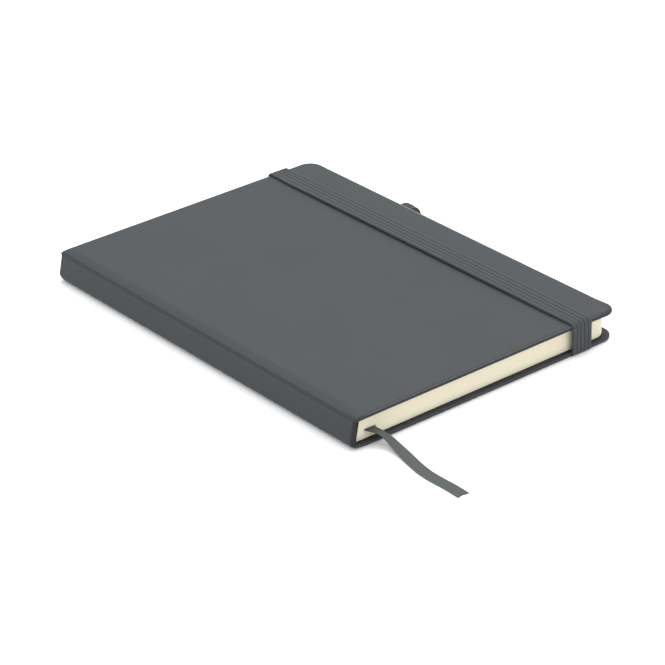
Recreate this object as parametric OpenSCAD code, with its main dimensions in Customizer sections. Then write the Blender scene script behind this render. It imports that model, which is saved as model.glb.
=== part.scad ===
// Hard-cover notebook with an elastic closure, lying on its back cover.
// X runs from the spine to the fore-edge, Y from the tail to the head, Z up.
// The origin is the middle of the back cover's underside.

/* [Covers] */
// Width of a cover from the hinge crease to the fore-edge
cover_w = 147.5; // [110:0.5:190]
// Height of a cover from tail to head
cover_h = 210.5; // [150:0.5:300]
// Thickness of a cover's board
board_t = 1.6; // [1.2:0.1:3]
// Thickness of the leatherette skin
skin_t = 0.4; // [0.2:0.05:0.6]
// Radius of the two fore-edge corners in plan
corner_r = 7; // [4:0.5:16]
// Radius of the rounded cover edges
edge_r = 0.85; // [0.3:0.05:0.95]
// Width of the skin that is turned in over a board
turn_in_w = 14; // [8:0.5:20]
// Width of the sloping shoulder beside the front hinge
shoulder_w = 5.2; // [3:0.1:8]
// How far the shoulder slopes down
shoulder_drop = 0.5; // [0.2:0.05:0.7]
// Radius of the crease pressed in between the shoulder and the spine
crease_r = 1; // [0.6:0.1:1.5]
// Depth of that crease
crease_d = 0.2; // [0.1:0.05:0.25]

/* [Spine] */
// How far the foot of the spine stands out past the front hinge
spine_lean = 1.95; // [0:0.05:3]
// Radius of the fold at the foot of the spine
spine_fold_r = 3.5; // [2.6:0.1:5]
// Thickness of the spine's board
spine_board_t = 1; // [0.6:0.1:3]
// Thickness of the cloth glued on the pages' back
lining_t = 0.3; // [0.15:0.05:0.6]
// Distance from the lining's ends to the ends of the pages
lining_inset = 8; // [2:0.5:20]

/* [Pages] */
// Thickness of the page block
block_t = 10.1; // [5:0.1:30]
// How far the covers stand out past the pages
square = 2.3; // [1:0.1:5]
// Radius of the page block's fore-edge corners in plan
page_corner_r = 7.5; // [4:0.5:16]
// Radius of the page block's two spine edges
block_back_r = 1.8; // [0.4:0.1:2]
// Thickness of a pastedown endpaper
pastedown_t = 0.2; // [0.1:0.05:0.4]
// Gap between the pages and a pastedown
page_gap = 0.1; // [0.05:0.05:0.3]

/* [Elastic strap] */
// Width of the strap
strap_w = 11.5; // [6:0.25:25]
// Thickness of the strap over a rib
strap_t = 1.1; // [0.8:0.05:1.2]
// Depth of the grooves between the ribs
strap_groove_d = 0.2; // [0.1:0.05:0.4]
// Number of lengthwise ribs
strap_ribs = 5; // [3:1:9]
// Width of a groove between two ribs
strap_groove_w = 0.6; // [0.3:0.05:1]
// Distance from the fore-edge to the middle of the strap
strap_inset = 21.2; // [14:0.05:40]
// Distance from a cover's end to the slot that the strap goes through
slot_inset = 12; // [8:0.5:25]
// Length of the strap's glued end inside the back cover
strap_tab_l = 10; // [5:0.5:20]
// Inside radius of the strap's bend at the table
strap_foot_r = 0.2; // [0.1:0.05:0.8]

/* [Pen loop] */
// Inside diameter of the loop
pen_d = 8.6; // [6.5:0.1:11]
// Thickness of the loop's elastic
loop_t = 1.2; // [0.6:0.05:1.5]
// Width of the loop's elastic
loop_w = 6; // [4:0.25:20]
// Height of the loop's middle above the tail
loop_y = 145.5; // [30:0.5:180]
// How far the loop's axis stands out past the fore-edge
loop_out = 4.9; // [4:0.1:9]
// Height of the loop's underside above the table
loop_up = 0.7; // [0.1:0.1:1]
// Length of the loop's glued end inside the back cover
loop_tab_l = 14; // [6:0.5:25]
// Thickness of that end, two layers of the elastic pressed together
loop_tab_t = 1.2; // [0.6:0.05:1.4]

/* [Ribbon] */
// Width of the ribbon
ribbon_w = 5.8; // [3:0.1:10]
// Thickness of the ribbon
ribbon_t = 0.3; // [0.2:0.05:0.5]
// Length of ribbon held between the pages
slit_l = 6; // [5.5:0.5:20]
// Height of the slit in the pages that it comes out of
slit_h = 1; // [0.8:0.1:1.5]

/* [Fits] */
// Gap at each hinge crease
hinge_gap = 0.2; // [0.1:0.05:0.3]
// Gap round a tab, strap or loop in its recess
recess_gap = 0.1; // [0.05:0.05:0.3]
// Gap between the strap and the cover edges that it passes
strap_gap = 0.05; // [0:0.05:0.3]

/* [Hidden] */
$fn = 48;

// Colours
skin_grey = [0.38, 0.4, 0.41];
elastic_grey = [0.36, 0.38, 0.39];
ribbon_grey = [0.42, 0.43, 0.44];
board_grey = [0.62, 0.6, 0.56];
cream = [0.94, 0.89, 0.79];
cloth_white = [0.86, 0.85, 0.82];

// Heights of the layers, from the table up
cover_t = board_t + skin_t;
pages_z = cover_t + pastedown_t + page_gap;
pages_top_z = pages_z + block_t;
front_z = pages_top_z + page_gap + pastedown_t;
book_t = front_z + cover_t;

// Places in plan
crease_x = -cover_w / 2;
fore_x = cover_w / 2;
end_y = cover_h / 2;
strap_x = fore_x - strap_inset;
loop_mid_y = loop_y - end_y;

// The spine's wall: the skin, the board and the turned-in skin
spine_wall_t = skin_t + spine_board_t + skin_t;
block_back_d = spine_wall_t + lining_t;
spine_low_z = cover_t + hinge_gap;
spine_top_z = front_z - hinge_gap;

// The spine's outer face runs from the front crease down to the fold, which is a circle
fold_c = [crease_x - spine_lean + spine_fold_r, spine_fold_r];
crease = [crease_x, front_z];
crease_dir = crease - fold_c;
face_a = atan2(crease_dir[1], crease_dir[0]) + acos(spine_fold_r / norm(crease_dir));
face_n = [cos(face_a), sin(face_a)];
face_up = [face_n[1], -face_n[0]];
fold_steps = 8;

// The front cover's round edge at the hinge, and where on it the crease is pressed in
hinge_r = cover_t - shoulder_drop;
hinge_c = [crease_x + hinge_r, front_z];
crease_a = 110;

// Where the spine's face, moved inwards by d, stands at height z
function face_x(z, d) =
    let (p = fold_c + (spine_fold_r - d) * face_n)
    p[0] + (z - p[1]) * face_up[0] / face_up[1];

// The fold's angle at height z, for the face moved inwards by d
function fold_a(z, d) = 180 + asin((spine_fold_r - z) / (spine_fold_r - d));

// Points of the fold from angle a to angle b, moved inwards by d
function fold_pts(a, b, d) = [
    for (i = [0:fold_steps])
        let (t = a + (b - a) * i / fold_steps)
        fold_c + (spine_fold_r - d) * [cos(t), sin(t)]
];

// Extrudes an outline in X and Z along Y, over a length about the middle
module along_y(length) {
    rotate([90, 0, 0])
        translate([0, 0, -length / 2])
            linear_extrude(length) children();
}

// Extrudes an outline in Y and Z along X, from x over a length
module along_x(x, length) {
    translate([x, 0, 0])
        rotate([90, 0, 90])
            linear_extrude(length) children();
}

// A cover's outline in plan, from x0 to the fore-edge, moved inwards by d
module cover_plan(x0, d) {
    round_plan(x0, d, max(corner_r - d, 0.5));
}

// The same outline with fore-edge corners of radius r
module round_plan(x0, d, r) {
    h = cover_h - 2 * d;
    x1 = fore_x - d;
    translate([x0, -h / 2])
        square([x1 - r - x0, h]);
    translate([x0, r - h / 2])
        square([x1 - x0, h - 2 * r]);
    for (s = [-1, 1])
        translate([x1 - r, s * (h / 2 - r)])
            circle(r);
}

// A slab of the cover's outline with round edges, standing on z = 0
module round_slab(x0) {
    linear_extrude(cover_t)
        cover_plan(x0, edge_r);
    translate([0, 0, edge_r])
        linear_extrude(cover_t - 2 * edge_r)
            cover_plan(x0, 0);
    for (z = [edge_r, cover_t - edge_r])
        translate([0, 0, z]) {
            for (s = [-1, 1]) {
                translate([x0, s * (end_y - edge_r), 0])
                    rotate([0, 90, 0])
                        cylinder(r = edge_r, h = fore_x - corner_r - x0);
                translate([fore_x - corner_r, s * (end_y - corner_r), 0])
                    rotate([0, 0, s > 0 ? 0 : -90])
                        rotate_extrude(angle = 90)
                            translate([corner_r - edge_r, 0])
                                circle(edge_r);
            }
            translate([fore_x - edge_r, end_y - corner_r, 0])
                rotate([90, 0, 0])
                    cylinder(r = edge_r, h = cover_h - 2 * corner_r);
        }
}

// The front cover's side view, moved inwards by d: a round edge at the hinge, then the shoulder
module front_side(d) {
    far = fore_x + 1;
    polygon(concat(
        [for (t = [0:7.5:90]) hinge_c + (hinge_r - d) * [-cos(t), sin(t)]],
        [[crease_x + shoulder_w, front_z + cover_t - d], [far, front_z + cover_t - d], [far, front_z]]
    ));
}

// The back cover's side view: the lower part of the spine's fold, moved inwards by d
module back_side(d) {
    far = fore_x + 1;
    polygon(concat(
        fold_pts(fold_a(cover_t, d), 270, d),
        [[far, d], [far, cover_t]]
    ));
}

// The board under the skin, standing on z = 0 with its inner face down.
// The turned-in skin is pressed into it along three edges.
module board_slab(x0) {
    translate([0, 0, skin_t])
        linear_extrude(board_t - skin_t)
            cover_plan(x0, skin_t);
    linear_extrude(board_t)
        cover_plan(x0, turn_in_w);
}

module front_blank() {
    difference() {
        intersection() {
            translate([0, 0, front_z])
                round_slab(crease_x - 1);
            along_y(cover_h + 2)
                front_side(0);
        }
        along_y(cover_h + 2)
            translate(hinge_c + (hinge_r + crease_r - crease_d) * [cos(crease_a), sin(crease_a)])
                circle(crease_r);
    }
}

module front_core() {
    intersection() {
        translate([0, 0, front_z])
            board_slab(crease_x - 1);
        along_y(cover_h + 2)
            front_side(skin_t);
    }
}

module front_skin() {
    color(skin_grey)
        difference() {
            front_blank();
            front_core();
        }
}

module front_board() {
    color(board_grey) front_core();
}

module front_endpaper() {
    color(cream)
        translate([0, 0, front_z - pastedown_t])
            linear_extrude(pastedown_t)
                round_plan(face_x(front_z, block_back_d), square, page_corner_r);
}

module back_blank() {
    intersection() {
        round_slab(crease_x - spine_lean - 1);
        along_y(cover_h + 2)
            back_side(0);
    }
}

module back_core() {
    intersection() {
        translate([0, 0, cover_t])
            mirror([0, 0, 1])
                board_slab(crease_x - spine_lean - 1);
        along_y(cover_h + 2)
            back_side(skin_t);
    }
}

// Room for the strap's ends: a recess under the cover, a slot and a pocket over the board
module strap_room() {
    w = strap_w + 2 * recess_gap;
    for (s = [0, 1])
        mirror([0, s, 0]) {
            translate([strap_x - w / 2, end_y - slot_inset - recess_gap, -1])
                cube([w, slot_inset + 1 + recess_gap, 1 + strap_t + recess_gap]);
            translate([strap_x - w / 2, end_y - slot_inset - recess_gap, -1])
                cube([w, strap_t + 2 * recess_gap, 2 + cover_t]);
            translate([strap_x - w / 2, strap_tab_y - recess_gap, cover_t - strap_t - recess_gap])
                cube([w, strap_tab_l + 2 * recess_gap, strap_t + 1]);
        }
}

// Room for the pen loop's glued end on the board
module loop_room() {
    w = loop_w + 2 * recess_gap;
    translate([fore_x - loop_tab_l - recess_gap, loop_mid_y - w / 2, cover_t - loop_tab_t - recess_gap])
        cube([loop_tab_l + 2, w, loop_tab_t + 1]);
}

module back_skin() {
    color(skin_grey)
        difference() {
            back_blank();
            back_core();
            strap_room();
            loop_room();
        }
}

module back_board() {
    color(board_grey)
        difference() {
            back_core();
            strap_room();
            loop_room();
        }
}

module back_endpaper() {
    color(cream)
        translate([0, 0, cover_t])
            linear_extrude(pastedown_t)
                round_plan(face_x(cover_t, block_back_d), square, page_corner_r);
}

// The spine's wall in X and Z, between the outer face moved in by d0 and by d1
module wall_side(d0, d1, low, high) {
    polygon(concat(
        [[face_x(high, d0), high]],
        fold_pts(face_a, fold_a(low, d0), d0),
        [[face_x(low, d1), low], [face_x(high, d1), high]]
    ));
}

// The spine's outline in plan, with round outer edges, carried up along its leaning face
module spine_bounds() {
    translate([crease_x, 0, front_z])
        rotate([0, 180 - face_a, 0])
            translate([0, 0, -2 * book_t])
                linear_extrude(3 * book_t) {
                    translate([edge_r, -end_y])
                        square([4 * spine_wall_t, cover_h]);
                    translate([0, edge_r - end_y])
                        square([4 * spine_wall_t, cover_h - 2 * edge_r]);
                    for (s = [-1, 1])
                        translate([edge_r, s * (end_y - edge_r)])
                            circle(edge_r);
                }
}

module spine_core() {
    along_y(cover_h - 2 * skin_t)
        wall_side(skin_t, spine_wall_t - skin_t, spine_low_z + skin_t, spine_top_z - skin_t);
}

module spine_skin() {
    color(skin_grey)
        difference() {
            intersection() {
                along_y(cover_h)
                    wall_side(0, spine_wall_t, spine_low_z, spine_top_z);
                spine_bounds();
            }
            spine_core();
            along_y(cover_h - 2 * turn_in_w)
                wall_side(spine_wall_t / 2, spine_wall_t + 1, spine_low_z + skin_t, spine_top_z - skin_t);
        }
}

module spine_board() {
    color(board_grey) spine_core();
}

module spine_lining() {
    low = pages_z + block_back_r;
    high = pages_top_z - block_back_r;
    color(cloth_white)
        along_y(cover_h - 2 * (square + lining_inset))
            polygon([
                [face_x(low, spine_wall_t), low],
                [face_x(high, spine_wall_t), high],
                [face_x(high, block_back_d), high],
                [face_x(low, block_back_d), low]
            ]);
}

// The pages' back edge at one end: an arc of block_back_r between the face and a level
function back_arc(z, a, b) =
    let (c = [face_x(z, block_back_d) - block_back_r / face_n[0], z])
    [for (i = [0:6]) let (t = a + (b - a) * i / 6) c + block_back_r * [cos(t), sin(t)]];

module page_block() {
    color(cream)
        difference() {
            intersection() {
                along_y(cover_h)
                    polygon(concat(
                        back_arc(pages_top_z - block_back_r, 90, face_a),
                        back_arc(pages_z + block_back_r, face_a, 270),
                        [[fore_x, pages_z], [fore_x, pages_top_z]]
                    ));
                linear_extrude(book_t)
                    round_plan(crease_x - spine_lean, square, page_corner_r);
            }
            translate([ribbon_route[0][0] - ribbon_w / 2 - recess_gap, -end_y, ribbon_route[0][2] - slit_h / 2])
                cube([ribbon_w + 2 * recess_gap, square + slit_l, slit_h]);
        }
}

// The ribbon's route: out of the slit, over the back cover's edge and along the table.
// Each row is the distance from the front crease, the distance past the covers' tail, the height
// and the angle by which the ribbon is rolled about its length.
ribbon_stations = [
    [9.3, -slit_l - square, 6.1, 0], [9.3, -5.3, 6.1, 0], [9.3, -2.6, 6.1, 0],
    [10, -0.8, 5.8, 4], [11.2, 1, 5.1, 11], [12.3, 3.4, 4.1, 15], [12.8, 5.8, 3, 15],
    [12.8, 8.8, 2.1, 13], [12.4, 12.8, 1.3, 8], [11.8, 16.8, 0.75, 4], [11, 20.8, 0.4, 1],
    [10, 25.8, 0.25, 0], [9.1, 30.8, 0.25, 0], [8.7, 35.8, 0.25, 0], [8.7, 40.8, 0.25, 0],
    [8.9, 45.8, 0.25, 0], [8.9, 50.8, 0.25, 0], [8.7, 56.2, 0.25, 0]
];
ribbon_route = [for (p = ribbon_stations) [crease_x + p[0], -end_y - p[1], p[2]]];

function unit(v) = v / norm(v);

// The ribbon's direction at point i of its route
function ribbon_dir(i) =
    let (n = len(ribbon_route))
    unit(ribbon_route[min(i + 1, n - 1)] - ribbon_route[max(i - 1, 0)]);

// Eight points round a flat band at point i of the route
function ribbon_ring(i) =
    let (
        along = ribbon_dir(i),
        level = unit(cross(along, [0, 0, 1])),
        roll = ribbon_stations[i][3],
        side = level * cos(roll) + cross(level, along) * sin(roll),
        up = cross(side, along),
        w = ribbon_w / 2,
        t = ribbon_t / 2
    )
    [
        for (p = [[1, 0], [0.9, 0.8], [0, 1], [-0.9, 0.8], [-1, 0], [-0.9, -0.8], [0, -1], [0.9, -0.8]])
            ribbon_route[i] + side * p[0] * w + up * p[1] * t
    ];

module ribbon() {
    rings = len(ribbon_route);
    sides = 8;
    points = [for (i = [0:rings - 1]) each ribbon_ring(i)];
    walls = [
        for (i = [0:rings - 2])
            for (j = [0:sides - 1])
                let (k = (j + 1) % sides)
                [i * sides + j, i * sides + k, (i + 1) * sides + k, (i + 1) * sides + j]
    ];
    first = [for (j = [sides - 1:-1:0]) j];
    last = [for (j = [0:sides - 1]) (rings - 1) * sides + j];
    color(ribbon_grey)
        polyhedron(points = points, faces = concat([first], walls, [last]), convexity = 4);
}

strap_tab_y = end_y - slot_inset - strap_tab_l + strap_t;

// A quarter of a ring in Y and Z about c, from radius r to r + t, above or below c
module quarter(c, r, t, above) {
    translate(c)
        intersection() {
            difference() {
                circle(r + t);
                circle(r);
            }
            translate([0, above ? 0 : -r - t])
                square(r + t);
        }
}

// Half of the strap's run in Y and Z, with thickness t inwards from its outer face
module strap_half(t) {
    out = end_y + strap_gap + strap_t;
    top = book_t + strap_gap + strap_t;
    r = edge_r + strap_gap + strap_t;
    foot_r = strap_t + strap_foot_r;
    translate([-0.01, top - t])
        square([out - r + 0.01, t]);
    quarter([out - r, top - r], r - t, t, true);
    translate([out - t, foot_r])
        square([t, top - r - foot_r]);
    quarter([out - foot_r, foot_r], foot_r - t, t, false);
    translate([end_y - slot_inset, 0])
        square([slot_inset + out - end_y - foot_r, t]);
}

// The end of the strap: up through the slot and flat on the board
module strap_end() {
    translate([end_y - slot_inset, 0])
        square([strap_t, cover_t]);
    translate([strap_tab_y, cover_t - strap_t])
        square([strap_tab_l, strap_t]);
}

module strap_run(t) {
    for (s = [0, 1])
        mirror([s, 0]) {
            strap_half(t);
            strap_end();
        }
}

module strap() {
    pitch = (strap_w + strap_groove_w) / strap_ribs;
    x0 = strap_x - strap_w / 2;
    color(elastic_grey) {
        along_x(x0, strap_w)
            difference() {
                strap_run(strap_t);
                strap_grooves();
            }
        for (i = [0:strap_ribs - 1])
            along_x(x0 + i * pitch, pitch - strap_groove_w)
                strap_run(strap_t);
    }
}

// What the grooves take off the outer face of the strap, along its whole run outside the slots
module strap_grooves() {
    for (s = [0, 1])
        mirror([s, 0])
            difference() {
                strap_half(strap_groove_d);
                translate([0, -1])
                    square([end_y - slot_inset + strap_t, cover_t]);
            }
}

loop_r = pen_d / 2 + loop_t;
loop_c = [fore_x + loop_out, loop_r + loop_up];

module pen_loop() {
    color(elastic_grey)
        translate([0, loop_mid_y, 0])
            along_y(loop_w)
                difference() {
                    union() {
                        translate(loop_c)
                            circle(loop_r);
                        translate([fore_x - loop_tab_l, cover_t - loop_tab_t])
                            square([loop_tab_l + loop_out / 2, loop_tab_t]);
                    }
                    translate(loop_c)
                        circle(pen_d / 2);
                }
}

page_block();
spine_lining();
spine_board();
spine_skin();
ribbon();
front_skin();
front_board();
front_endpaper();
back_skin();
back_board();
back_endpaper();
strap();
pen_loop();
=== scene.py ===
"""Grey hard-cover notebook with an elastic strap, a pen loop and a ribbon: the looks round the
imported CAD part, in the same frame. Points and paths are in millimetres until a mesh is made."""
import math

import bmesh
import bpy
from mathutils import Matrix, Vector


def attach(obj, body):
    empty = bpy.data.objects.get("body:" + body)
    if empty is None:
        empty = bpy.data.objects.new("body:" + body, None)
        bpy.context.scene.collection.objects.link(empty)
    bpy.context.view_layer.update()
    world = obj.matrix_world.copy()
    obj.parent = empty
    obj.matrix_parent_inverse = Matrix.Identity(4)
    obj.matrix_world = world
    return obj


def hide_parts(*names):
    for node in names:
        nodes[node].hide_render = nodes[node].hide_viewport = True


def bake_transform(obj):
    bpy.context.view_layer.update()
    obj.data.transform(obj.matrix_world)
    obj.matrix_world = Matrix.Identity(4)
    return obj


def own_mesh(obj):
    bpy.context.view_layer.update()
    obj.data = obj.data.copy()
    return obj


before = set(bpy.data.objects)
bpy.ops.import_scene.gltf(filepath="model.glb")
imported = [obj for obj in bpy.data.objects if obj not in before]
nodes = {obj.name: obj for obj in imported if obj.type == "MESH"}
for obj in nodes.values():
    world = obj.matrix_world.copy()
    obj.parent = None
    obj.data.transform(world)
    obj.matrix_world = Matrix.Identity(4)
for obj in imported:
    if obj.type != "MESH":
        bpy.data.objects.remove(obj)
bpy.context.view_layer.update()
bpy.context.scene.view_settings.view_transform = "Standard"

# Camera. A long lens from beyond the tail and the spine, found by fitting the notebook's edges
# and corners.
camera_data = bpy.data.cameras.new("camera")
camera_data.sensor_width = 36
camera_data.lens = 159.73
camera_data.shift_x = -0.00075
camera_data.shift_y = 0.00075
camera_data.clip_end = 10
camera = bpy.data.objects.new("camera", camera_data)
camera.matrix_world = Matrix((
    (0.77276905, 0.31264109, -0.55234368, -0.732399),
    (-0.6341723, 0.34529831, -0.6918053, -0.917063),
    (-0.02556342, 0.88488679, 0.46510416, 0.603771),
    (0, 0, 0, 1),
))
bpy.context.scene.collection.objects.link(camera)
bpy.context.scene.camera = camera

# Ribbon bookmark. A narrow woven satin ribbon, glued between the pages near the spine. It comes
# out of the tail, drops over the back cover's edge and lies on the table, with a bare cut end.
cover_half = 105.25
crease_x = -73.75
ribbon_width = 5.8
ribbon_half_thickness = 0.14
ribbon_lift = 0.05
# Distance from the crease, distance past the cover's edge, height, and roll in degrees.
ribbon_stations = [
    (9.3, -8.3, 6.1, 0), (9.3, -5.3, 6.1, 0), (9.3, -2.6, 6.1, 0), (10, -0.8, 5.8, 4),
    (11.2, 1, 5.1, 11), (12.3, 3.4, 4.1, 15), (12.8, 5.8, 3, 15), (12.8, 8.8, 2.1, 13),
    (12.4, 12.8, 1.3, 8), (11.8, 16.8, 0.75, 4), (11, 20.8, 0.4, 1), (10, 25.8, 0.25, 0),
    (9.1, 30.8, 0.25, 0), (8.7, 35.8, 0.25, 0), (8.7, 40.8, 0.25, 0), (8.9, 45.8, 0.25, 0),
    (8.9, 50.8, 0.25, 0), (8.7, 56.2, 0.25, 0),
]


def new_material(name, roughness, specular):
    """A material, its node tree and its shader."""
    made = bpy.data.materials.new(name)
    made.use_nodes = True
    shader = made.node_tree.nodes["Principled BSDF"]
    shader.inputs["Roughness"].default_value = roughness
    shader.inputs["Specular IOR Level"].default_value = specular
    return made, made.node_tree, shader


def put(tree, kind, inputs=None, **settings):
    """Adds a node. An input takes a value, or a link where it is given another node's output."""
    made = tree.nodes.new(kind)
    for key, value in settings.items():
        setattr(made, key, value)
    for key, value in (inputs or {}).items():
        if isinstance(value, bpy.types.NodeSocket):
            tree.links.new(value, made.inputs[key])
        else:
            made.inputs[key].default_value = value
    return made


def calc(tree, operation, *values):
    """One step of arithmetic on numbers and other nodes' outputs."""
    return put(tree, "ShaderNodeMath", dict(enumerate(values)), operation=operation).outputs[0]


def carried(tree, name):
    """A number that the mesh carries on its points."""
    return put(tree, "ShaderNodeAttribute", attribute_name=name).outputs["Fac"]


def object_place(tree):
    """The place in the object, in metres."""
    return put(tree, "ShaderNodeTexCoord").outputs["Object"]


def noise(tree, place, scale, detail=2.0):
    """Soft irregular spots."""
    settings = {"Vector": place, "Scale": scale, "Detail": detail}
    return put(tree, "ShaderNodeTexNoise", settings).outputs["Fac"]


def threads(tree, place, scale, distortion, direction, detail=1.0):
    """Parallel yarns that run across a direction."""
    settings = {"Vector": place, "Scale": scale, "Distortion": distortion, "Detail": detail}
    return put(tree, "ShaderNodeTexWave", settings, bands_direction=direction).outputs["Fac"]


def spread(tree, factor, low, high, start=0.0, stop=1.0):
    """Maps a factor from start and stop to low and high."""
    return put(tree, "ShaderNodeMapRange", {0: factor, 1: start, 2: stop, 3: low, 4: high}).outputs[0]


def two_tones(tree, factor, dark, light):
    """A colour between two tones. Either tone may be another node's colour."""
    tones = [tone if isinstance(tone, bpy.types.NodeSocket) else (*tone, 1) for tone in (dark, light)]
    return put(tree, "ShaderNodeMix", {0: factor, 6: tones[0], 7: tones[1]}, data_type="RGBA").outputs[2]


def dress(tree, shader, colour, rough, height, strength, depth):
    """Links the shader's colour, its roughness where it varies, and a bump with a depth in metres."""
    tree.links.new(colour, shader.inputs["Base Color"])
    if rough:
        tree.links.new(rough, shader.inputs["Roughness"])
    bump = put(tree, "ShaderNodeBump", {"Height": height, "Strength": strength, "Distance": depth})
    tree.links.new(bump.outputs[0], shader.inputs["Normal"])


def loft(rings):
    """The points and faces of a closed skin through rings of equal count, capped at both ends."""
    n = len(rings[0])
    points = [p for ring in rings for p in ring]
    faces = [
        (k * n + i, k * n + (i + 1) % n, (k + 1) * n + (i + 1) % n, (k + 1) * n + i)
        for k in range(len(rings) - 1) for i in range(n)
    ]
    faces.append(tuple(range(n)))
    faces.append(tuple((len(rings) - 1) * n + i for i in range(n)))
    return points, faces


def mend(mesh, crisp):
    """Merges doubles, turns the faces outwards and keeps edges past the crisp angle sharp."""
    work = bmesh.new()
    work.from_mesh(mesh)
    bmesh.ops.remove_doubles(work, verts=work.verts, dist=1e-7)
    bmesh.ops.recalc_face_normals(work, faces=work.faces)
    for edge in work.edges:
        edge.smooth = len(edge.link_faces) == 2 and edge.calc_face_angle(0) < math.radians(crisp)
    for face in work.faces:
        face.smooth = True
    work.to_mesh(mesh)
    work.free()


def solid(name, points, faces, material, crisp=40, **values):
    """A smooth-shaded mesh object from points in millimetres. Each named list becomes a number on
    the points that the material can read."""
    mesh = bpy.data.meshes.new(name)
    mesh.from_pydata([[c * 0.001 for c in p] for p in points], [], faces)
    for key, numbers in values.items():
        mesh.attributes.new(key, "FLOAT", "POINT").data.foreach_set("value", numbers)
    mend(mesh, crisp)
    mesh.materials.append(material)
    made = bpy.data.objects.new(name, mesh)
    bpy.context.scene.collection.objects.link(made)
    return made


def smooth_rows(rows, steps):
    """Rows of numbers with a smooth curve through them, steps for each gap."""
    out = []
    for i in range(len(rows) - 1):
        a, b, c, d = (rows[min(max(i + k, 0), len(rows) - 1)] for k in (-1, 0, 1, 2))
        for j in range(steps):
            t = j / steps
            out.append(tuple(
                0.5 * (
                    2 * q + (r - p) * t + (2 * p - 5 * q + 4 * r - s) * t * t
                    + (3 * q - p - 3 * r + s) * t ** 3
                )
                for p, q, r, s in zip(a, b, c, d)
            ))
    out.append(tuple(rows[-1]))
    return out


def ribbon_ring(i, line, points=28):
    """The ribbon's section at point i of its line, and each point's place across it. The two
    selvedges are thicker, and run on a little past the middle at the cut end."""
    x, y, z, roll = line[i]
    before, after = line[max(i - 1, 0)], line[min(i + 1, len(line) - 1)]
    along = (Vector(after[:3]) - Vector(before[:3])).normalized()
    level = along.cross(Vector((0, 0, 1))).normalized()
    side = level * math.cos(math.radians(roll)) + level.cross(along) * math.sin(math.radians(roll))
    up = side.cross(along)
    cut = max(0, 1 - (len(line) - 1 - i) / 6)
    ring, places = [], []
    for k in range(points):
        turn = 2 * math.pi * k / points
        s = math.cos(turn)
        thick = ribbon_half_thickness * (1 - abs(s) ** 8) ** 0.125 * (1.12 if abs(s) > 0.86 else 1)
        face = (1 if math.sin(turn) >= 0 else -1) * min(1, abs(math.sin(turn)) * 4)
        hollow = cut * (0.9 * abs(s) ** 2 - 0.75)
        place = Vector((x, y, z)) + side * (s * ribbon_width / 2) + along * hollow
        place += up * (ribbon_lift * s * s + thick * face)
        ring.append(tuple(place))
        places.append(s * ribbon_width / 2000)
    return ring, places


satin, tree, shader = new_material("ribbon_satin", 0.6, 0.25)
cloth = put(tree, "ShaderNodeCombineXYZ", {0: carried(tree, "across"), 1: carried(tree, "run")}).outputs[0]
warp = noise(tree, cloth, 900.0)
weft = threads(tree, cloth, 620.0, 1.5, "Y")
speck = put(tree, "ShaderNodeTexVoronoi", {"Vector": cloth, "Scale": 1500.0}).outputs["Distance"]
weave = calc(tree, "MULTIPLY", warp, weft)
dress(tree, shader, two_tones(tree, weave, (0.050, 0.058, 0.061), (0.145, 0.161, 0.166)),
      spread(tree, speck, 0.5, 0.72), weave, 0.3, 0.00008)
shader.inputs["Sheen Weight"].default_value = 0.15

ribbon_line = [
    (crease_x + a, -cover_half - b, z, roll) for a, b, z, roll in smooth_rows(ribbon_stations, 5)
]
ribbon_rings, ribbon_across, ribbon_run = [], [], []
travelled = 0
for i, station in enumerate(ribbon_line):
    if i:
        travelled += (Vector(station[:3]) - Vector(ribbon_line[i - 1][:3])).length
    ring, places = ribbon_ring(i, ribbon_line)
    ribbon_rings.append(ring)
    ribbon_across += places
    ribbon_run += [travelled / 1000] * len(ring)
ribbon = solid("ribbon_bookmark", *loft(ribbon_rings), satin, across=ribbon_across, run=ribbon_run)
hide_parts("ribbon")
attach(ribbon, "block")

# Page block and endpapers. Sewn sections of uncoated cream paper, trimmed on three sides, so
# the edges show the leaves as fine lines. The pastedowns are glued inside both covers.
paper_edge_x = 70.95
paper_edge_y = 102.45
paper_corner = 7.2
hinge_corner = 0.4
paper, tree, shader = new_material("cream_paper", 0.9, 0.08)
place = object_place(tree)
sheets = put(tree, "ShaderNodeMapping", {"Vector": place, "Scale": (14.0, 14.0, 7200.0)}).outputs[0]
sections = put(tree, "ShaderNodeMapping", {"Vector": place, "Scale": (5.0, 5.0, 900.0)}).outputs[0]
fibre = noise(tree, place, 1400.0, 3.0)
lines = calc(tree, "ADD", noise(tree, sheets, 1.0), noise(tree, sections, 1.0, 1.0))
lines = calc(tree, "MULTIPLY", lines, 0.5)
dress(tree, shader, two_tones(tree, lines, (0.925, 0.82, 0.61), (0.99, 0.92, 0.745)),
      spread(tree, fibre, 0.84, 0.96), calc(tree, "MULTIPLY_ADD", fibre, 0.3, lines), 0.25, 0.00006)
shader.inputs["Subsurface Weight"].default_value = 0.35
shader.inputs["Subsurface Radius"].default_value = (1.0, 0.8, 0.5)
shader.inputs["Subsurface Scale"].default_value = 0.002


def give_material(node, material):
    """A CAD node keeps its mesh and takes a new material."""
    nodes[node].data.materials.clear()
    nodes[node].data.materials.append(material)


def side_steps(length, near, far):
    """Fractions along a side, close together at the ends where near or far is set."""
    fine = [
        0, 0.03, 0.1, 0.2, 0.32, 0.45, 0.6, 0.8, 1.0, 1.25, 1.5, 1.8, 2.2, 2.6, 3, 3.5, 4, 4.5, 4.9, 5.2,
        5.6, 6.2, 7, 8.5, 11,
    ]
    coarse = [0, 4, 8]
    left = fine if near else coarse
    right = fine if far else coarse
    middle_from, middle_to = left[-1] + 3, length - right[-1] - 3
    count = max(2, round((middle_to - middle_from) / 3.5))
    middle = [middle_from + (middle_to - middle_from) * i / count for i in range(count + 1)]
    return [d / length for d in left + middle + [length - d for d in reversed(right)]][:-1]


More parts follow.
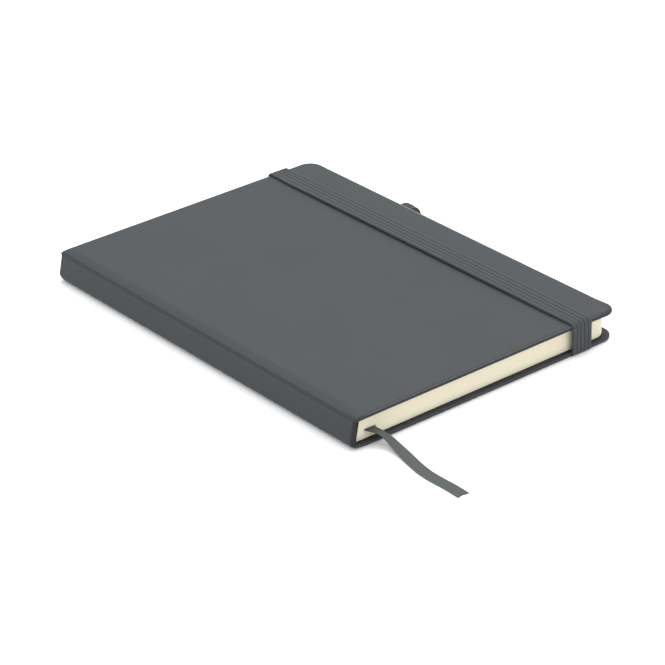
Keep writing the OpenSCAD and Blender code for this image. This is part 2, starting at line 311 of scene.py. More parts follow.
def round_plan(x0, x1, half, hinge_r, fore_r):
    """An outline in plan with a radius for the two hinge corners and one for the other two."""
    ring = []

    def go(a, b, fractions):
        ring.extend((a[0] + (b[0] - a[0]) * f, a[1] + (b[1] - a[1]) * f) for f in fractions)

    def bend(x, y, r, start):
        turns = [math.radians(start + 9 * i) for i in range(10)]
        ring.extend((x + r * math.cos(turn), y + r * math.sin(turn)) for turn in turns)

    # The same steps serve the covers and the pastedowns, whose sides are about this long.
    wide, tall = side_steps(140, True, False), side_steps(190, False, False)
    go((x0 + hinge_r, -half), (x1 - fore_r, -half), wide)
    bend(x1 - fore_r, fore_r - half, fore_r, -90)
    go((x1, fore_r - half), (x1, half - fore_r), tall)
    bend(x1 - fore_r, half - fore_r, fore_r, 0)
    go((x1 - fore_r, half), (x0 + hinge_r, half), [0] + [1 - f for f in wide[:0:-1]])
    bend(x0 + hinge_r, half - hinge_r, hinge_r, 90)
    go((x0, half - hinge_r), (x0, hinge_r - half), tall)
    bend(x0 + hinge_r, hinge_r - half, hinge_r, 180)
    return ring


give_material("page_block", paper)
for body, x0, low, high in (("front", -71.2, 12.5, 12.7), ("back", -73.6, 2.0, 2.2)):
    leaf_rings = []
    for z, d in ((low, 0.05), (low + 0.05, 0), (high - 0.05, 0), (high, 0.05)):
        outline = round_plan(x0 + d, paper_edge_x - d, paper_edge_y - d, hinge_corner, paper_corner)
        leaf_rings.append([(x, y, z) for x, y in outline])
    pastedown = solid(body + "_pastedown", *loft(leaf_rings), paper, 60)
    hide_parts(body + "_endpaper")
    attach(pastedown, body)

# Spine lining. A strip of open cotton cloth, glued along the back of the sewn pages.
# It shows only where the covers are opened wide.
mull, tree, shader = new_material("lining_cloth", 0.95, 0.1)
place = object_place(tree)
warp = threads(tree, place, 260.0, 0.6, "Y", 2.0)
weft = threads(tree, place, 260.0, 0.6, "Z", 2.0)
weave = calc(tree, "MAXIMUM", warp, weft)
colour = two_tones(tree, weave, (0.5, 0.47, 0.41), (0.74, 0.72, 0.66))
dress(tree, shader, colour, None, weave, 0.5, 0.0001)
give_material("spine_lining", mull)

# Boards. Raw grey board from recycled paper, cut to size and wrapped by the cover skin. The
# spine has a narrow strip of it that stops short of the skin's turned-in ends.
board, tree, shader = new_material("grey_board", 0.92, 0.1)
place = object_place(tree)
flecks = put(tree, "ShaderNodeTexNoise",
             {"Vector": place, "Scale": 1100.0, "Detail": 4.0, "Roughness": 0.7}).outputs["Fac"]
mottle = spread(tree, calc(tree, "MULTIPLY", flecks, noise(tree, place, 90.0)), 0.0, 1.0, 0.1, 0.4)
colour = two_tones(tree, mottle, (0.26, 0.25, 0.22), (0.42, 0.4, 0.36))
dress(tree, shader, colour, None, flecks, 0.35, 0.0001)
give_material("front_board", board)
give_material("back_board", board)

spine_foot = (-72.2, 3.5)
spine_fold = 3.5
spine_wall = 1.8
face_angle = math.radians(167.53)
face_normal = (math.cos(face_angle), math.sin(face_angle))
face_slope = face_normal[1] / -face_normal[0]


def spine_path(inward, top, low, steps=14):
    """Points in X and Z down the spine's leaning face and round its foot, moved inwards."""
    radius = spine_fold - inward
    knee_x, knee_z = spine_foot[0] + radius * face_normal[0], spine_foot[1] + radius * face_normal[1]
    points = []
    for i in range(steps):
        z = top + (knee_z - top) * i / steps
        points.append((knee_x + (z - knee_z) * face_slope, z))
    last = math.pi + math.asin((spine_foot[1] - low) / radius)
    for i in range(steps + 1):
        turn = face_angle + (last - face_angle) * i / steps
        points.append((spine_foot[0] + radius * math.cos(turn), spine_foot[1] + radius * math.sin(turn)))
    return points


def spine_inside(top, low, steps=14):
    """The same number of points down the inner side of the spine's wall, which is straight."""
    radius = spine_fold - spine_wall
    knee_x, knee_z = spine_foot[0] + radius * face_normal[0], spine_foot[1] + radius * face_normal[1]
    heights = [top + (low - top) * i / (2 * steps) for i in range(2 * steps + 1)]
    return [(knee_x + (z - knee_z) * face_slope, z) for z in heights]


def along_spine(outer, inner, y):
    """One closed ring of a spine piece at the distance y from the middle."""
    return [(x, y, z) for x, z in outer] + [(x, y, z) for x, z in reversed(inner)]


# The strip lies 0.45 inside the skin's outer face and is 0.9 thick. Its rims are eased by 0.12.
strip_rings = []
for y, shrink in ((-103, 0.12), (-102.9, 0), (102.9, 0), (103, 0.12)):
    top, low = 12.0 - shrink, 2.7 + shrink
    outer, inner = spine_path(0.45 + shrink, top, low), spine_path(1.35 - shrink, top, low)
    strip_rings.append(along_spine(outer, inner, y))
spine_strip = solid("spine_strip", *loft(strip_rings), board)
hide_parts("spine_board")
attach(spine_strip, "block")

# Spine skin. Thin grey leatherette with a fine pressed grain, wrapped round the spine's board.
# Its two ends are turned in over the board and rounded, and carry painted shade as a dark rim beside the
# pages.
leather, tree, shader = new_material("leatherette", 0.56, 0.21)
place = object_place(tree)
clouds = noise(tree, place, 38.0, 3.0)
pebble = put(tree, "ShaderNodeTexVoronoi", {"Vector": place, "Scale": 1900.0, "Randomness": 1.0},
             feature="SMOOTH_F1").outputs["Distance"]
grain = calc(tree, "MULTIPLY_ADD", noise(tree, place, 2600.0), 0.6, pebble)
tone = spread(tree, calc(tree, "MULTIPLY_ADD", grain, 0.8, clouds), 0.0, 1.0, 0.5, 1.7)
colour = two_tones(tree, tone, (0.0500, 0.0580, 0.0635), (0.0590, 0.0680, 0.0745))
worn = carried(tree, "wear")
colour = two_tones(tree, worn, colour, (0.105, 0.115, 0.122))
# Painted shade: where the points carry a shade number, the colour is painted darker towards near black.
colour = two_tones(tree, carried(tree, "shade"), colour, (0.016, 0.018, 0.019))
rough = calc(tree, "MULTIPLY_ADD", worn, 3.0, spread(tree, clouds, 0.52, 0.6, 0.3, 0.7))
dress(tree, shader, colour, rough, grain, 0.3, 0.00006)


def end_round(distance, run_out):
    """How far an edge has rounded over, from 1 at the very end to 0 past run_out."""
    t = min(max(0.0, 1 - distance / run_out), 1.0)
    return 1 - math.sqrt(1 - t * t)


def ease(t):
    """A smooth step from 0 to 1."""
    t = min(max(t, 0.0), 1.0)
    return t * t * (3 - 2 * t)


def foot_tuck(x, y, z):
    """The foot of the spine is pulled in further than the rest at its two ends."""
    pull = 0.8 * end_round(cover_half - abs(y), 2.6) * ease((4.2 - z) / 3) * ease((-68 - x) / 4)
    dx, dz = spine_foot[0] - x, spine_foot[1] - z
    far = max(math.hypot(dx, dz), 0.001)
    return x + dx / far * pull, y, z + dz / far * pull


def end_painted_shade(distance):
    """Painted shade on the spine's turned-in ends, darker towards the very end."""
    return 0.75 * ease((2.5 - distance) / 1.2)


# Distance from the end, and how far the outer and the inner side have moved inwards there.
spine_end = [
    (3, 0, spine_wall), (2.5, 0, spine_wall), (2.2, 0, spine_wall), (1.9, 0, spine_wall),
    (1.6, 0.01, spine_wall), (1.2, 0.06, spine_wall), (0.85, 0.15, spine_wall), (0.55, 0.28, 1.79),
    (0.3, 0.44, 1.77), (0.12, 0.6, 1.74), (0.03, 0.76, 1.68), (0, 0.92, 1.6), (0.04, 1.05, 1.5),
    (0.35, 1.15, 1.42),
]
skin_rings, skin_shade = [], []
for distance, outer_in, inner_in in spine_end:
    outer = spine_path(outer_in, 12.5 - outer_in * 0.1, 2.2 + outer_in * 0.1)
    inner = spine_inside(12.5, 2.2) if inner_in == spine_wall else spine_path(inner_in, 12.48, 2.22)
    ring = along_spine(outer, inner, distance - cover_half)
    skin_rings.append([foot_tuck(*point) for point in ring])
    skin_shade.append([end_painted_shade(distance)] * len(ring))
skin_rings = skin_rings[::-1] + [[(x, -y, z) for x, y, z in ring] for ring in skin_rings]
skin_shade = sum(skin_shade[::-1] + skin_shade, [])
spine_skin = solid("spine_leather", *loft(skin_rings), leather, 50, shade=skin_shade)
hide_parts("spine_skin")
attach(spine_skin, "block")

# Front cover skin. The same leatherette over the front board, turned in 14 mm all round. Its
# hinge side slopes down in a pressed shoulder, and its edges are rounded and slightly rubbed.
fore_x = 73.75
corner = 7.0
head_length = 140.4
front_z = 12.7
front_top = 14.7
top_round = 1.2
under_round = 0.5
edge_run_out = 1.9
# Distance from the crease, and how far the top lies under the flat cover there.
shoulder = [
    (-1, 1.85), (0.12, 1.5), (0.25, 1.34), (0.45, 1.17), (0.75, 1.03), (1.1, 0.92), (1.6, 0.81),
    (2.2, 0.67), (3, 0.48), (3.8, 0.3), (4.5, 0.15), (4.9, 0.075), (5.2, 0.03), (5.6, 0.005), (6.2, 0),
    (200, 0),
]
shoulder_end = [
    (-1, 1.75), (0.12, 1.25), (0.26, 1.07), (0.5, 0.84), (0.96, 0.62), (1.4, 0.47), (1.81, 0.37),
    (2.5, 0.23), (3.22, 0.13), (4.2, 0.05), (5.45, 0), (200, 0),
]


def between(table, u):
    """The value at u in a table of pairs."""
    for (a, p), (b, q) in zip(table, table[1:]):
        if u <= b:
            return p + (q - p) * (u - a) / (b - a)
    return table[-1][1]


def shoulder_drop(u, y):
    """How far the top lies under the flat cover, u from the crease. It is rounder at the ends."""
    ends = ease((abs(y) - 92) / 13)
    return between(shoulder, u) * (1 - ends) + between(shoulder_end, u) * ends


def edge_distance(x, y):
    """Distance to the cover's head, tail or fore-edge."""
    dx, dy = x - (fore_x - corner), abs(y) - (cover_half - corner)
    if dx > 0 and dy > 0:
        return corner - math.hypot(dx, dy)
    return min(fore_x - x, cover_half - abs(y))


def hand_bend(x, y, z, low):
    """The small unevenness of a real cover: a fore-edge that bows in, and a tail corner that
    flares out and hangs a little, more on its lower side."""
    near = ease((x - 35) / 38)
    x += near * (0.42 * (y / 105) ** 2 - 0.3)
    flare = ease((x - 58) / 15) * ease((-y - 90) / 14)
    hang = ease((x - 40) / 30) * ease((-y - 60) / 40)
    z -= 0.12 * flare + (0.28 * hang if low else 0)
    return x + 0.95 * flare, y - 0.3 * flare, z


def cover_ring(inset, hinge_inset):
    """The cover's outline in plan, moved inwards, from the hinge's tail end round to it again."""
    hinge_steps = side_steps(2 * cover_half, True, True)
    head_steps = side_steps(head_length, True, False)
    fore_steps = side_steps(2 * (cover_half - corner), False, False)
    quarter = [math.pi / 2 * i / 12 for i in range(12)]
    x0, x1, h = crease_x + 0.14 + hinge_inset, fore_x - inset, cover_half - inset
    r = max(corner - inset, 0.3)
    ring = [(x0, -h + 2 * h * f) for f in hinge_steps]
    ring += [(x0 + (x1 - r - x0) * f, h) for f in head_steps]
    ring += [(x1 - r + r * math.sin(t), h - r + r * math.cos(t)) for t in quarter]
    ring += [(x1, h - r - 2 * (h - r) * f) for f in fore_steps]
    ring += [(x1 - r + r * math.cos(t), -h + r - r * math.sin(t)) for t in quarter]
    ring += [(x0 + (x1 - r - x0) * f, -h) for f in [1] + head_steps[:0:-1]]
    return ring


def top_point(x, y):
    """A point of the cover's top, whose edge and shoulder run into each other."""
    u = x - crease_x
    edge = top_round * end_round(edge_distance(x, y), edge_run_out)
    drop = shoulder_drop(u, y) + 0.1 * (1 - ease((u - 1.5) / 0.9))
    return hand_bend(x, y, front_top - (edge ** 3 + drop ** 3) ** (1 / 3), False)


def lip_ring(inset, z):
    """The cover's rounded lower edge. At the hinge it narrows to the skin's thin fold."""
    hinge_z = front_z + (0.1 if z > front_z else 0)
    ring = []
    for x, y in cover_ring(inset, inset):
        away = ease((x - crease_x - 0.2) / 1.0)
        ring.append(hand_bend(x, y, hinge_z + (z - hinge_z) * away, True))
    return ring


def under_ring(inset, hinge_inset, rise):
    """The turned-in skin under the cover, which lies flat against the board."""
    ring = []
    for x, y in cover_ring(inset, hinge_inset):
        bent_x, bent_y, bent_z = hand_bend(x, y, front_z + rise, True)
        flat = ease((inset - 0.5) / 1.7)
        ring.append((bent_x, bent_y, bent_z + (front_z + rise - bent_z) * flat))
    return ring


def reach(x, y):
    """Distance to the cover's edge, for a point that may lie a little past it."""
    return edge_distance(min(x, fore_x), max(min(y, cover_half), -cover_half))


top_insets = [
    73, 64, 52, 42, 33, 26, 20, 15, 11.5, 9, 7, 6.2, 5.6, 5.2, 4.9, 4.5, 4, 3.5, 3, 2.6, 2.2, 1.8, 1.5,
    1.2, 0.95, 0.74, 0.55, 0.4, 0.27, 0.17, 0.09, 0.03, 0,
]
cover_rings = [[top_point(x, y) for x, y in cover_ring(d, d)] for d in top_insets]
for inset, rise in ((0, under_round), (0.04, 0.3), (0.15, 0.14), (0.3, 0.04), (0.5, 0)):
    cover_rings.append(lip_ring(inset, front_z + rise))
for inset, hinge_inset, rise in (
    (2.2, 0.52, 0), (5, 0.54, 0), (9, 0.56, 0), (13.9, 0.58, 0), (14, 0.6, 0.05), (14, 0.6, 0.4),
):
    cover_rings.append(under_ring(inset, hinge_inset, rise))
points, faces = loft(cover_rings)
rub = [max(0.0, 0.12 - abs(reach(x, y) - 0.5) * 0.2) if z > 13.4 else 0.0 for x, y, z in points]
# Painted shade: the cover's rounded edges are painted darker towards their lower side and the lip.
lip_painted_shade = [0.38 * ease((14.6 - z) / 1.0) * ease((1.6 - reach(x, y)) / 1.2) for x, y, z in points]
front_skin = solid("front_leather", points, faces, leather, wear=rub, shade=lip_painted_shade)
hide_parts("front_skin")
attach(front_skin, "front")

# Back cover skin. The same leatherette over the back board, with round edges and a rounded foot
# where it folds up into the spine. The elastics are pressed into seats cut in it.
back_x0 = -75.3
back_top = 2.0


def back_under(x, y):
    """Height of the back cover's underside, which curls up into the fold at the spine."""
    fold = spine_fold - math.sqrt(max(spine_fold ** 2 - min(0, x - spine_foot[0]) ** 2, 0))
    near_fold = ease((-70 - x) / 3)
    edge = (0.75 + 0.17 * near_fold) * end_round(edge_distance(x, y), 0.9 + near_fold)
    return min((edge ** 3 + fold ** 3) ** (1 / 3), 1.9)


def back_outline(inset, hinge_inset):
    """The back cover's outline in plan, moved inwards."""
    fore_r = max(corner - inset, 0.5)
    return round_plan(back_x0 + hinge_inset, fore_x - inset, cover_half - inset, hinge_corner, fore_r)


# The inner side, from the turn-in's cut out to the edge: inset, height, and how much painted shade darkens
# the ledge.
back_ledge = [
    (14, 1.6, 0), (14, 1.95, 0), (13.9, back_top, 0.1), (9, back_top, 0.3), (5, back_top, 0.5),
    (3, back_top, 0.7), (2, back_top, 0.7), (1.2, 1.99, 0.6), (0.7, 1.96, 0.45), (0.35, 1.88, 0.3),
    (0.12, 1.76, 0.15), (0.02, 1.6, 0.1),
]
back_insets = [
    0, 0.04, 0.1, 0.18, 0.28, 0.4, 0.55, 0.72, 0.9, 1.2, 1.6, 2.1, 2.6, 3.1, 4, 6, 9, 13, 18, 25, 35, 48,
    60, 72.5,
]
back_rings, back_shade = [], []
for inset, z, dark in back_ledge:
    outline = back_outline(inset, min(inset, 0.6))
    back_rings.append([foot_tuck(x, y, max(z, back_under(x, y) + 0.06)) for x, y in outline])
    back_shade += [dark] * len(outline)
for inset in back_insets:
    outline = back_outline(inset, inset)
    back_rings.append([foot_tuck(x, y, back_under(x, y)) for x, y in outline])
    back_shade += [0] * len(outline)
back_skin = solid("back_leather", *loft(back_rings), leather, 50, shade=back_shade)

# At tail and head a channel under the cover, a slot through it and a pocket over the board seat
# the strap's end. The pen loop's end has one pocket. Each is x, y and z from and to.
seats = []
for side in (-1, 1):
    for near, far, z0, z1 in ((93.15, 107, -1, 1.2), (93.15, 94.45, -1, 3), (84.25, 94.45, 0.8, 3)):
        y0, y1 = sorted((side * near, side * far))
        seats.append((46.7, 58.4, y0, y1, z0, z1))
seats.append((59.65, 75, 37.15, 43.35, 0.7, 3))
for x0, x1, y0, y1, z0, z1 in seats:
    box = [[(x, y, z) for x, y in ((x0, y0), (x1, y0), (x1, y1), (x0, y1))] for z in (z0, z1)]
    cutter = solid("cutter", *loft(box), leather)
    cut = back_skin.modifiers.new("seat", "BOOLEAN")
    cut.operation = "DIFFERENCE"
    cut.solver = "EXACT"
    cut.object = cutter
    depsgraph = bpy.context.evaluated_depsgraph_get()
    seated = bpy.data.meshes.new_from_object(back_skin.evaluated_get(depsgraph), depsgraph=depsgraph)
    back_skin.modifiers.clear()
    back_skin.data = seated
    bpy.data.objects.remove(cutter)
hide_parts("back_skin")
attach(back_skin, "back")

# Hinge creases. At both joints the leatherette runs on from the spine to the cover without a
# cut, and bends there. Each crease is a strip of it along the joint.

# Distances of the rings from each end, close together where the strip rounds over.
crease_ends = [0, 0.03, 0.08, 0.16, 0.28, 0.42, 0.6, 0.8, 1.0, 1.25, 1.6, 2, 2.5, 3, 6, 9, 13, 20]


def path_normals(path):
    """The direction square to a path in X and Z at each of its points."""
    normals = []
    for i in range(len(path)):
        a, b = path[max(i - 1, 0)], path[min(i + 1, len(path) - 1)]
        length = math.hypot(b[0] - a[0], b[1] - a[1])
        normals.append(((b[1] - a[1]) / length, -(b[0] - a[0]) / length))
    return normals


def crease_strip(name, path, give, dark, thickness):
    """A strip along the spine through a path in X and Z, rounded over at both ends by give. It
    carries painted shade: dark along the groove by dark, and the spine's painted rim at its ends."""
    stations = [-cover_half + d for d in crease_ends] + [-80 + 8 * i for i in range(21)]
    stations += [cover_half - d for d in reversed(crease_ends)]
    rings, shades = [], []
    for y in stations:
        over = end_round(cover_half - abs(y), edge_run_out)
        # Painted shade at the strip's ends, matching the spine's painted rim.
        rim = [end_painted_shade(cover_half - abs(y)) * ease((13.9 - z) / 1.2) for x, z in path]
        ring_painted_shade = [max(a, b) for a, b in zip(dark, rim)]
        shades += ring_painted_shade + ring_painted_shade[::-1]
        outer, inner = [], []
        for (x, z), (nx, nz), g in zip(path, path_normals(path), give):
            lift = 0.0
            if x - crease_x > 0.4 and z > 13:
                lift = shoulder_drop(x - crease_x, 0) - shoulder_drop(x - crease_x, y)
            for side, depth in ((outer, g * over), (inner, g * over + thickness)):
                side.append(foot_tuck(x + nx * depth, y, z + lift + nz * depth))
        rings.append(outer + inner[::-1])
    return solid(name, *loft(rings), leather, 60, shade=shades)


def face_at(z):
    """X of the spine's outer face at height z. The face starts at the rounded foot, at 4.2555."""
    return -75.6175 + (z - 4.2555) * 0.22108


# Up the spine's face, round the groove and out onto the shoulder. The rows are a distance from
# the face and a height, then from the crease and a height, then from the crease and a dip.
on_face = [(0.05, 10.9), (0.0, 11.2), (-0.05, 11.6), (-0.08, 12.0), (-0.1, 12.3)]
in_groove = [
    (-0.12, 12.5), (-0.11, 12.62), (-0.03, 12.76), (0.14, 12.86), (0.32, 12.95), (0.4, 13.08),
    (0.37, 13.24), (0.36, 13.38), (0.42, 13.5), (0.55, 13.6), (0.8, 13.7), (1.1, 13.78),
]
on_shoulder = [(1.5, 0), (1.8, 0.0), (2.1, 0.01), (2.4, 0.04), (2.7, 0.09)]
front_path = [(face_at(z) + give, z) for give, z in on_face]
front_path += [(crease_x + u, z) for u, z in in_groove]
front_path += [(crease_x + u, front_top - between(shoulder, u) - dip) for u, dip in on_shoulder]
front_give = [0.9] * 7 + [0.92, 0.94, 0.96, 0.98, 1.0, 1.02, 1.05, 1.08, 1.12, 1.16] + [1.2] * 5
# Painted shade along the groove, darkest at its bottom.
front_groove_painted_shade = [
    0, 0, 0, 0.02, 0.06, 0.12, 0.18, 0.24, 0.32, 0.4, 0.44, 0.44, 0.4, 0.34, 0.26, 0.18, 0.12, 0.08, 0.05,
    0.03, 0.01, 0,
]
front_crease = crease_strip("front_crease", front_path, front_give, front_groove_painted_shade, 0.22)
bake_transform(front_crease)

# Round the foot of the spine, just outside both skins, with its two rims sunk into them.
back_path = []
for i in range(25):
    turn = math.radians(234 - 58 * i / 24)
    rise = spine_fold + 0.03 * min(1, i / 4, (24 - i) / 4) - 0.04 * (i in (0, 24))
    back_path.append((spine_foot[0] + rise * math.cos(turn), spine_foot[1] + rise * math.sin(turn)))
back_crease = crease_strip("back_crease", back_path, [0.9] * 25, [0] * 25, 0.2)
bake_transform(back_crease)

# Paper joints. Inside each cover the endpaper runs on from the pastedown, over the hinge, to the
# first leaf. It is one folded strip of the same paper.
joint_half = 102.3
joint_thickness = 0.03


def paper_joint(name, path):
    """A thin strip of paper along the spine through a path in X and Z."""
    rings = []
    half = joint_thickness / 2
    for y in [-joint_half + 2 * joint_half * i / 40 for i in range(41)]:
        sides = list(zip(path, path_normals(path)))
        outer = [(x + nx * half, y, z + nz * half) for (x, z), (nx, nz) in sides]
        inner = [(x - nx * half, y, z - nz * half) for (x, z), (nx, nz) in sides]
        rings.append(outer + inner[::-1])
    made = solid(name, *loft(rings), paper, 60)
    return made


# Each path runs from the leaf out to the fold, and back to the pastedown.
front_joint = paper_joint("front_paper_joint", [
    (-69.2, 12.425), (-70, 12.43), (-71, 12.44), (-71.9, 12.47), (-72.8, 12.525), (-73.4, 12.54),
    (-73.58, 12.56), (-73.62, 12.59), (-73.58, 12.62), (-73.4, 12.64), (-72.8, 12.655), (-72.2, 12.66),
    (-71.75, 12.66),
])
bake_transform(front_joint)
back_joint = paper_joint("back_paper_joint", [
    (-71.0, 2.275), (-72, 2.265), (-73, 2.25), (-73.7, 2.215), (-74.3, 2.175), (-74.9, 2.165),
    (-75.15, 2.15), (-75.22, 2.11), (-75.15, 2.07), (-74.9, 2.05), (-74.5, 2.04), (-74.0, 2.035),
    (-73.65, 2.035),
])
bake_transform(back_joint)

# Elastic strap. A woven rubber band with five lengthwise ribs, glued inside the back cover at
# head and tail, brought out through two slots, round the edges and tight over the front cover.
strap_x = 52.55
strap_width = 0.0115
strap_thickness = 0.0011
elastic, tree, shader = new_material("ribbed_elastic", 0.82, 0.12)
cloth = put(tree, "ShaderNodeCombineXYZ", {0: carried(tree, "across"), 1: carried(tree, "run")}).outputs[0]
fuzz = noise(tree, cloth, 2400.0, 3.0)
knit = calc(tree, "MULTIPLY", threads(tree, cloth, 420.0, 0.8, "X"), threads(tree, cloth, 560.0, 1.2, "Y"))
knit = calc(tree, "MULTIPLY_ADD", fuzz, 0.5, knit)
yarn = two_tones(tree, spread(tree, knit, 0.0, 1.0, 0.1, 1.0), (0.058, 0.064, 0.068), (0.096, 0.106, 0.112))
# Painted shade: the grooves between the ribs are painted darker.
yarn = two_tones(tree, carried(tree, "groove_painted_shade"), yarn, (0.028, 0.031, 0.033))
dress(tree, shader, yarn, spread(tree, fuzz, 0.74, 0.9), knit, 0.4, 0.00008)
shader.inputs["Sheen Weight"].default_value = 0.1


def keep_value(tree, geometry, label, value):
    """Stores a number on the points, for the material."""
    inputs = {"Geometry": geometry, "Name": label, "Value": value}
    return put(tree, "GeometryNodeStoreNamedAttribute", inputs, data_type="FLOAT", domain="POINT").outputs[0]


def band_profile(tree, given):
    """The band's section: a flat round-ended oval whose outer side has ribs with grooves between."""
    square = 9.0
    circle = put(tree, "GeometryNodeCurvePrimitiveCircle",
                 {"Resolution": given["Points round"], "Radius": 1.0}).outputs[0]
    here = put(tree, "GeometryNodeInputPosition").outputs[0]
    unit = put(tree, "ShaderNodeSeparateXYZ", {0: here}).outputs
    flat = calc(tree, "SUBTRACT", 1.0, calc(tree, "POWER", calc(tree, "ABSOLUTE", unit[0]), square))
    flat = calc(tree, "POWER", calc(tree, "MAXIMUM", flat, 0.0), 1 / square)
    outside = calc(tree, "GREATER_THAN", unit[1], 0.0)
    sign = calc(tree, "SUBTRACT", calc(tree, "MULTIPLY", outside, 2.0), 1.0)
    half = calc(tree, "MULTIPLY", given["Thickness"], 0.5)
    height = calc(tree, "MULTIPLY", calc(tree, "MULTIPLY", flat, half), sign)
    step = calc(tree, "ADD", calc(tree, "MULTIPLY", unit[0], 0.5), 0.5)
    step = calc(tree, "FRACT", calc(tree, "MULTIPLY", step, given["Ribs"]))
    from_rib = calc(tree, "MULTIPLY", calc(tree, "ABSOLUTE", calc(tree, "SUBTRACT", step, 0.5)), 2.0)
    groove = calc(tree, "MULTIPLY", calc(tree, "POWER", from_rib, given["Groove sharpness"]), outside)
    height = calc(tree, "SUBTRACT", height, calc(tree, "MULTIPLY", groove, given["Groove depth"]))
    width = calc(tree, "MULTIPLY", calc(tree, "MULTIPLY", unit[0], 0.5), given["Width"])
    marked = keep_value(tree, keep_value(tree, circle, "across", width), "groove_painted_shade", groove)
    place = put(tree, "ShaderNodeCombineXYZ", {0: width, 1: height}).outputs[0]
    return put(tree, "GeometryNodeSetPosition", {0: marked, "Position": place}).outputs[0]


def elastic_tree():
    """A node tree that draws a ribbed band along a path. The ribs lie on its outer side."""
    tree = bpy.data.node_groups.new("ribbed_band", "GeometryNodeTree")
    face = tree.interface
    face.new_socket("Geometry", in_out="INPUT", socket_type="NodeSocketGeometry")
    for label in ("Width", "Thickness", "Ribs", "Groove depth", "Groove sharpness"):
        face.new_socket(label, in_out="INPUT", socket_type="NodeSocketFloat")
    face.new_socket("Points round", in_out="INPUT", socket_type="NodeSocketInt")
    face.new_socket("Material", in_out="INPUT", socket_type="NodeSocketMaterial")
    face.new_socket("Geometry", in_out="OUTPUT", socket_type="NodeSocketGeometry")
    given = put(tree, "NodeGroupInput").outputs
    length = put(tree, "GeometryNodeSplineParameter").outputs["Length"]
    path = keep_value(tree, given["Geometry"], "run", length)
    radius = put(tree, "GeometryNodeInputRadius").outputs[0]
    band = put(tree, "GeometryNodeCurveToMesh",
               {0: path, 1: band_profile(tree, given), "Fill Caps": True, "Scale": radius})
    smooth = put(tree, "GeometryNodeSetShadeSmooth", {"Geometry": band.outputs[0]})
    real = put(tree, "GeometryNodeRealizeInstances", {0: smooth.outputs[0]})
    dressed = put(tree, "GeometryNodeSetMaterial", {0: real.outputs[0], "Material": given["Material"]})
    put(tree, "NodeGroupOutput", {0: dressed.outputs[0]})
    return tree


band_tree = elastic_tree()


def ribbed_band(name, line, **inputs):
    """Bakes the tree on a path of x, y, z and scale into one closed mesh. The path is in
    millimetres, and the band's own sizes are in metres."""
    curve = bpy.data.curves.new(name + "_path", "CURVE")
    curve.dimensions = "3D"
    spline = curve.splines.new("POLY")
    spline.points.add(len(line) - 1)
    for point, (x, y, z, scale) in zip(spline.points, line):
        point.co = (x / 1000, y / 1000, z / 1000, 1)
        point.radius = scale
    drawn = bpy.data.objects.new(name + "_path", curve)
    bpy.context.scene.collection.objects.link(drawn)
    modifier = drawn.modifiers.new("band", "NODES")
    modifier.node_group = band_tree
    for item in band_tree.interface.items_tree:
        if item.in_out == "INPUT" and item.name in inputs:
            modifier[item.identifier] = inputs[item.name]
    depsgraph = bpy.context.evaluated_depsgraph_get()
    mesh = bpy.data.meshes.new_from_object(drawn.evaluated_get(depsgraph), depsgraph=depsgraph)
    bpy.data.objects.remove(drawn)
    bpy.data.curves.remove(curve)
    mend(mesh, 70)
    made = bpy.data.objects.new(name, mesh)
    bpy.context.scene.collection.objects.link(made)
    return made


def arc(cy, cz, r, start, stop, steps):
    """Points of an arc in the upright plane, angles in degrees."""
    turns = [math.radians(start + (stop - start) * i / steps) for i in range(steps + 1)]
    return [(cy + r * math.cos(turn), cz + r * math.sin(turn)) for turn in turns]


# Half of the run, from the glued end inside the tail, out through the slot, under the edge, up
# past the pages and over to the middle of the front cover.
half_run = [
    (-90.5, 1.4), (-92.0, 1.4), (-93.0, 1.38), (-93.45, 1.27), (-93.72, 1.08), (-93.95, 0.84),
    (-94.3, 0.62), (-95.2, 0.56), (-98, 0.56), (-101, 0.56), (-104, 0.56),
]
half_run += arc(-104.72, 1.5, 0.94, 270, 180, 7)[1:]
half_run += [(-105.68, 2.6), (-105.74, 4.5), (-105.78, 6.5), (-105.8, 8.5), (-105.8, 10.5)]
half_run += arc(-103.75, 13.3, 2.05, 180, 90, 12)
half_run += [
    (-102.5, 15.36), (-100, 15.37), (-96, 15.39), (-90, 15.43), (-80, 15.5), (-65, 15.57), (-45, 15.62),
    (-20, 15.65), (0, 15.66),
]


def strap_scale(y, z):
    """The band draws in where it is pulled tight over the edges."""
    if z < 2:
        return 0.97
    if y < -103:
        return 0.965
    return 0.965 + 0.035 * ease((y + 103) / 14)


def head_neck(y, z):
    """How much further it draws in at the head, where it is pulled tighter."""
    if z > 12 and y < -88:
        return 0.065 * ease((-y - 88) / 14)
    if z > 2 and y < -103:
        return 0.065 * ease((z - 2) / 6)
    return 0.0


strap_line = [(strap_x, y, z, strap_scale(y, z)) for y, z in half_run]
strap_line += [
    (strap_x, -y, z, strap_scale(y, z) - head_neck(y, z)) for y, z in reversed(half_run[:-1])
]
strap = ribbed_band("elastic_strap", strap_line, **{
    "Width": strap_width, "Thickness": strap_thickness, "Ribs": 5.0, "Groove depth": 0.00026,
    "Groove sharpness": 6.0, "Points round": 220, "Material": elastic,
})
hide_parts("strap")
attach(strap, "back")
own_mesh(strap)

# Pen loop. A short length of narrower ribbed elastic, doubled over and glued between the back
# board and its pastedown, so that it stands out past the fore-edge as an open loop.
loop_y = 40.25
loop_x, loop_z, loop_r = 78.65, 6.2, 4.9
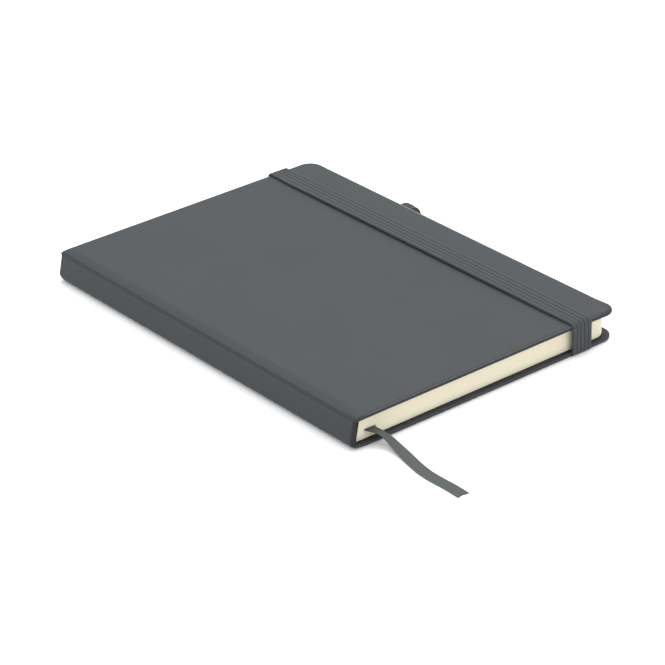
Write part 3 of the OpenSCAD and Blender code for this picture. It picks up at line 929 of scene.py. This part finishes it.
# From the glued end out past the cover's edge, then once round the pen's place.
loop_line = [(60, 1.42), (66, 1.42), (72, 1.42), (74.5, 1.4), (76.3, 1.34)]
loop_line += arc(loop_x, loop_z, loop_r, -88, 257, 40)
loop_rows = []
for x, z in loop_line:
    # Outside the cover it spreads a little, towards the tail.
    free = ease((x - 74.2) / 2)
    loop_rows.append((x, loop_y - 0.5 * free, z, 1 + 0.16 * free))
pen_loop = ribbed_band("pen_loop_elastic", loop_rows, **{
    "Width": 0.006, "Thickness": 0.00115, "Ribs": 3.0, "Groove depth": 0.00018,
    "Groove sharpness": 7.0, "Points round": 140, "Material": elastic,
})
# The elastic's tail rim curls in and lies lower, towards the point (82.6, 4.2).
for vertex in pen_loop.data.vertices:
    x, y, z = (c * 1000 for c in vertex.co)
    if x > 74.2:
        curl = 0.07 * ease((loop_y + 0.5 - y) / 4.5) * ease((x - 74.2) / 3)
        drop = (4.2 - z) * curl if z > 4.2 else 0.0
        vertex.co = ((x + (82.6 - x) * curl) / 1000, y / 1000, (z + drop) / 1000)
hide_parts("pen_loop")
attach(pen_loop, "back")

# Studio. A white floor, a pale room, and one large soft lamp from the fore-edge and the head.
# The floor shows lighter to the camera than it lights the notebook, and keeps its shadow.
bpy.ops.mesh.primitive_plane_add(size=6, location=(0, 0, -0.0001))
floor = bpy.context.object
floor.name = "floor"
floor_white, tree, shader = new_material("floor_white", 1.0, 0.0)
ray = put(tree, "ShaderNodeLightPath").outputs
seen = calc(tree, "MAXIMUM", ray["Is Camera Ray"], ray["Is Glossy Ray"])
seen = calc(tree, "MAXIMUM", seen, ray["Is Transmission Ray"])
plain = two_tones(tree, noise(tree, object_place(tree), 3.0), (0.88, 0.88, 0.88), (0.92, 0.92, 0.92))
tree.links.new(two_tones(tree, seen, plain, (1.24, 1.24, 1.24)), shader.inputs["Base Color"])
shader.inputs["Emission Color"].default_value = (1, 1, 1, 1)
tree.links.new(calc(tree, "MULTIPLY", seen, 0.04), shader.inputs["Emission Strength"])
floor.data.materials.append(floor_white)

lamp_data = bpy.data.lights.new("soft_lamp", "AREA")
lamp_data.size = 1.3
lamp_data.energy = 13.0
lamp = bpy.data.objects.new("soft_lamp", lamp_data)
lamp.location = (0.75, 0.45, 1.45)
lamp.rotation_euler = (-Vector(lamp.location)).to_track_quat("-Z", "Y").to_euler()
bpy.context.scene.collection.objects.link(lamp)

world = bpy.data.worlds.new("studio")
bpy.context.scene.world = world
world.use_nodes = True
background = world.node_tree.nodes["Background"]
background.inputs[0].default_value = (1, 1, 1, 1)
background.inputs[1].default_value = 0.96
